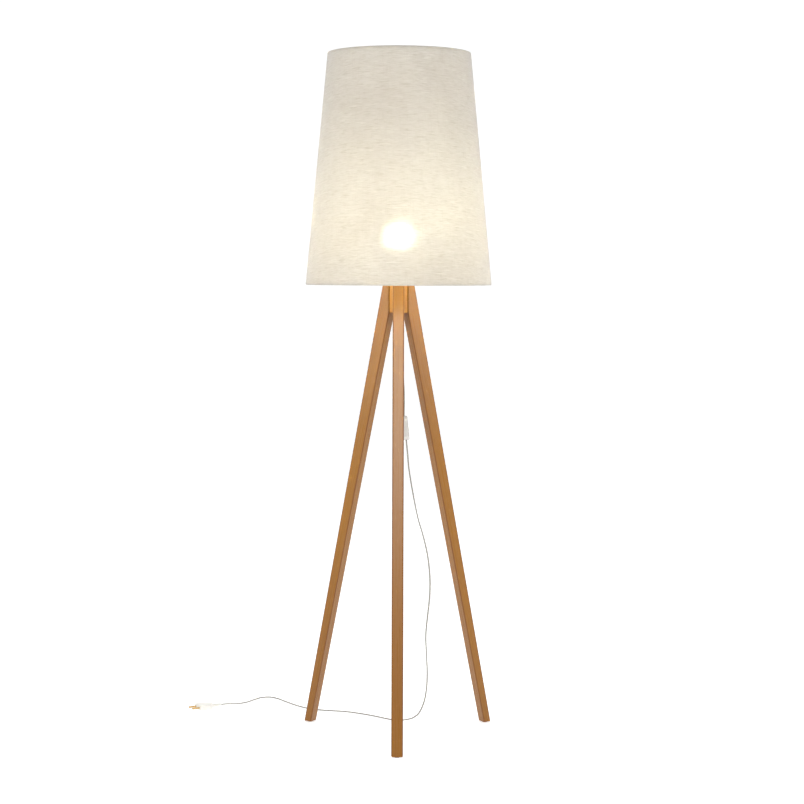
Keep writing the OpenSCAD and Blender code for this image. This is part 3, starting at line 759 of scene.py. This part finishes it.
def shade_profile(bottom, top, cloth, roll, flap):
    """The cut through the cloth: (inset from the outer cone, height, finish of the next band)."""
    linen, liner = 0, 1
    hem = cloth + HEM_PROUD
    start, end = bottom + roll, top - roll
    profile = [
        (0.0, start + (end - start) * k / CLOTH_ROWS, linen) for k in range(CLOTH_ROWS + 1)
    ]
    for k in range(1, ROLL_ROWS + 1):
        a = math.pi * k / ROLL_ROWS
        profile.append((roll * (1 - math.cos(a)), end + roll * math.sin(a), linen))
    profile += [
        (2 * roll, end - 1 * MM, linen), (roll * 1.5, end - 3 * MM, linen),
        (hem, end - 5 * MM, linen), (hem, top - flap, linen), (cloth, top - flap - 0.1 * MM, liner),
    ]
    high, low = top - flap - 1 * MM, bottom + flap + 1 * MM
    for k in range(LINER_ROWS + 1):
        profile.append((cloth, high + (low - high) * k / LINER_ROWS, liner))
    profile += [
        (cloth, bottom + flap + 0.1 * MM, liner), (hem, bottom + flap, linen),
        (hem, start + 5 * MM, linen), (roll * 1.5, start + 3 * MM, linen),
        (2 * roll, start + 1 * MM, linen),
    ]
    for k in range(ROLL_ROWS):
        a = math.pi * k / ROLL_ROWS
        profile.append((roll * (1 + math.cos(a)), start - roll * math.sin(a), linen))
    return profile


def shade_angles(lap, radius):
    """Angles from the front, once round, with close steps at the lap at the back."""
    half = lap / radius / 2
    step = (2 * math.pi - 2 * half) / SHADE_COLUMNS
    angles = [-math.pi + half + step * k for k in range(SHADE_COLUMNS + 1)]
    return angles + [math.pi - half + LAP_RISE, math.pi + half - LAP_RISE]


def shade_mesh(profile, angles, wide, slope, bottom):
    """The cloth, with the places on the flat cut cloth as its coordinates."""
    apex = bottom + wide / slope
    sine = wide / math.hypot(wide, apex - bottom)
    cosine = math.sqrt(1 - sine * sine)
    mesh = bpy.data.meshes.new("shade_linen")
    verts, faces, corners, finishes = [], [], [], []
    rows, cols = len(profile), len(angles)
    lapped = len(angles) - 2
    for inset, z, _ in profile:
        for j, angle in enumerate(angles):
            proud = LAP_PROUD if j >= lapped and inset == 0 else 0.0
            spot = Vector((math.sin(angle) * 5, math.cos(angle) * 5, z * 9))
            ripple = noise.noise(spot) * RIPPLE
            radius = wide - (z - bottom) * slope - inset + proud + ripple
            verts.append((radius * math.sin(angle), -radius * math.cos(angle), z))
    for i in range(rows):
        for j in range(cols):
            ni, nj = (i + 1) % rows, (j + 1) % cols
            faces.append((i * cols + j, i * cols + nj, ni * cols + nj, ni * cols + j))
            flat = []
            for ii, jj in ((i, j), (i, nj), (ni, nj), (ni, j)):
                angle = angles[jj]
                if jj < j:
                    angle += 2 * math.pi
                slant = (apex - profile[ii][1]) / cosine
                flat.append((slant * math.sin(angle * sine), -slant * math.cos(angle * sine)))
            corners.append(flat)
            finishes.append(profile[i][2])
    mesh.from_pydata(verts, [], faces)
    layer = mesh.uv_layers.new(name="cut")
    for polygon, flat, finish in zip(mesh.polygons, corners, finishes):
        polygon.use_smooth = True
        polygon.material_index = finish
        for loop, corner in zip(polygon.loop_indices, flat):
            layer.data[loop].uv = corner
    mesh.update()
    return mesh


class LAMP_OT_stand(bpy.types.Operator):
    """Finishes the legs, the hub and what holds them"""

    bl_idname = "lamp.stand"
    bl_label = "Stand"

    def execute(self, context):
        lean = math.atan2(LEG_LEAN, 1)
        for k, (node, angle) in enumerate(LEG_ANGLES.items()):
            turned = Matrix.Rotation(math.radians(-angle), 3, "Z")
            turn = Matrix.Rotation(-lean, 3, "Y").inverted() @ turned
            finish = wood_finish(
                f"wood_{node}", turn.to_euler(), 4.7 * k + 1.3, leg_angle=angle
            )
            dress(node, finish)
        # The hub's wood is partly painted paler, a painted light
        dress("hub_block", wood_finish("wood_hub", (0, 0, 0), 31.0, 0.35))
        dress("leg_dowels", finish_of("dowel"))
        for node in ("foot_pad_front", "foot_pad_rear_left", "foot_pad_rear_right"):
            dress(node, finish_of("felt"))
        for node in ("stem_tube", "stem_washer_lower", "stem_washer_upper", "stem_nut"):
            dress(node, finish_of("steel"))
        for node in ("cord_grip", "cord_grip_screw"):
            dress(node, finish_of("white_plastic"))
        return {"FINISHED"}


class LAMP_OT_holder(bpy.types.Operator):
    """Finishes the lampholder, its rings and the spider"""

    bl_idname = "lamp.holder"
    bl_label = "Lampholder"

    def execute(self, context):
        table = {
            "white_plastic": ["holder_cap", "holder_sleeve", "shade_ring_lower", "shade_ring_upper"],
            "ceramic": ["holder_core"],
            "brass": ["holder_tongue", "holder_terminals", "holder_screw_shell"],
            "steel": ["holder_terminal_screws"],
            "white_wire": ["shade_fitter", "shade_arm_rear", "shade_arm_left", "shade_arm_right"],
        }
        for finish, nodes in table.items():
            for node in nodes:
                dress(node, finish_of(finish))
        return {"FINISHED"}


class LAMP_OT_bulb(bpy.types.Operator):
    """Finishes the bulb and lights it"""

    bl_idname = "lamp.bulb"
    bl_label = "Bulb"

    def execute(self, context):
        table = {
            "glow": ["bulb_globe"],
            "white_plastic": ["bulb_body"],
            "board": ["bulb_led_board", "bulb_driver_board"],
            "led": ["bulb_leds"],
            "dark_plastic": ["bulb_capacitor", "bulb_insulator"],
            "steel": ["bulb_screw_shell", "bulb_tip_contact"],
        }
        for finish, nodes in table.items():
            for node in nodes:
                dress(node, finish_of(finish))
        return {"FINISHED"}


class LAMP_OT_switch(bpy.types.Operator):
    """Finishes the in-line switch and the plug"""

    bl_idname = "lamp.switch"
    bl_label = "Switch and plug"

    def execute(self, context):
        table = {
            "clear_plastic": ["switch_base", "switch_cover"],
            "rocker_plastic": ["switch_rocker"],
            "brass": ["switch_contacts", "switch_bridge", "plug_pin_left", "plug_pin_right"],
            "steel": ["switch_pin", "switch_screws"],
            "white_plastic": ["plug_body", "plug_relief"],
        }
        for finish, nodes in table.items():
            for node in nodes:
                dress(node, finish_of(finish))
        return {"FINISHED"}


class LAMP_OT_stage(bpy.types.Operator):
    """Sets the floor and the studio light"""

    bl_idname = "lamp.stage"
    bl_label = "Stage"

    def execute(self, context):
        r = Recipe("studio_floor")
        cloud = r.grain(r.place(), 1.5, 2.0)
        base = r.blend(cloud * 0.1, (0.93, 0.93, 0.93), (0.9, 0.9, 0.9))
        material = r.done(
            r.skin(
                Base_Color=base, Roughness=0.9, Specular_IOR_Level=0.1,
                Emission_Color=(1, 1, 1), Emission_Strength=FLOOR_GLOW,
            )
        )
        mesh = bpy.data.meshes.new("studio_floor")
        side = FLOOR_SIDE
        mesh.from_pydata(
            [(-side, -side, 0), (side, -side, 0), (side, side, 0), (-side, side, 0)], [],
            [(0, 1, 2, 3)],
        )
        mesh.materials.append(material)
        floor = bpy.data.objects.new("studio_floor", mesh)
        context.scene.collection.objects.link(floor)
        context.scene.world = studio_world()
        context.scene.view_settings.view_transform = "Standard"
        # The lamplight reaches the linen by way of the liner, so it must not be capped
        context.scene.cycles.sample_clamp_indirect = 0
        for name, place, target, size, power in SOFTBOXES:
            data = bpy.data.lights.new(name, "AREA")
            data.size = size
            data.energy = power
            lamp = bpy.data.objects.new(name, data)
            lamp.location = place
            aim = Vector(target) - Vector(place)
            lamp.rotation_euler = aim.to_track_quat("-Z", "Y").to_euler()
            lamp.visible_camera = False
            context.scene.collection.objects.link(lamp)
        return {"FINISHED"}


class LAMP_PT_panel(bpy.types.Panel):
    """Lists the lamp's pieces"""

    bl_idname = "LAMP_PT_panel"
    bl_label = "Tripod Floor Lamp"
    bl_space_type = "VIEW_3D"
    bl_region_type = "UI"
    bl_category = "Lamp"

    def draw(self, context):
        for group in (lamp_sizes(), lamp_colours()):
            column = self.layout.column()
            for key in group.__annotations__:
                column.prop(group, key)
        for operator in OPERATORS:
            self.layout.operator(operator.bl_idname)


OPERATORS = (
    LAMP_OT_camera, LAMP_OT_flex, LAMP_OT_shade, LAMP_OT_stand, LAMP_OT_holder, LAMP_OT_bulb,
    LAMP_OT_switch, LAMP_OT_stage,
)
CLASSES = (LampSizes, LampColours, *OPERATORS, LAMP_PT_panel)


def register():
    for cls in CLASSES:
        bpy.utils.register_class(cls)
    bpy.types.Scene.lamp_sizes = PointerProperty(type=LampSizes)
    bpy.types.Scene.lamp_colours = PointerProperty(type=LampColours)


def unregister():
    del bpy.types.Scene.lamp_sizes
    del bpy.types.Scene.lamp_colours
    for cls in reversed(CLASSES):
        bpy.utils.unregister_class(cls)


def main():
    register()
    for operator in OPERATORS:
        group, name = operator.bl_idname.split(".")
        getattr(getattr(bpy.ops, group), name)()


if __name__ == "__main__":
    main()
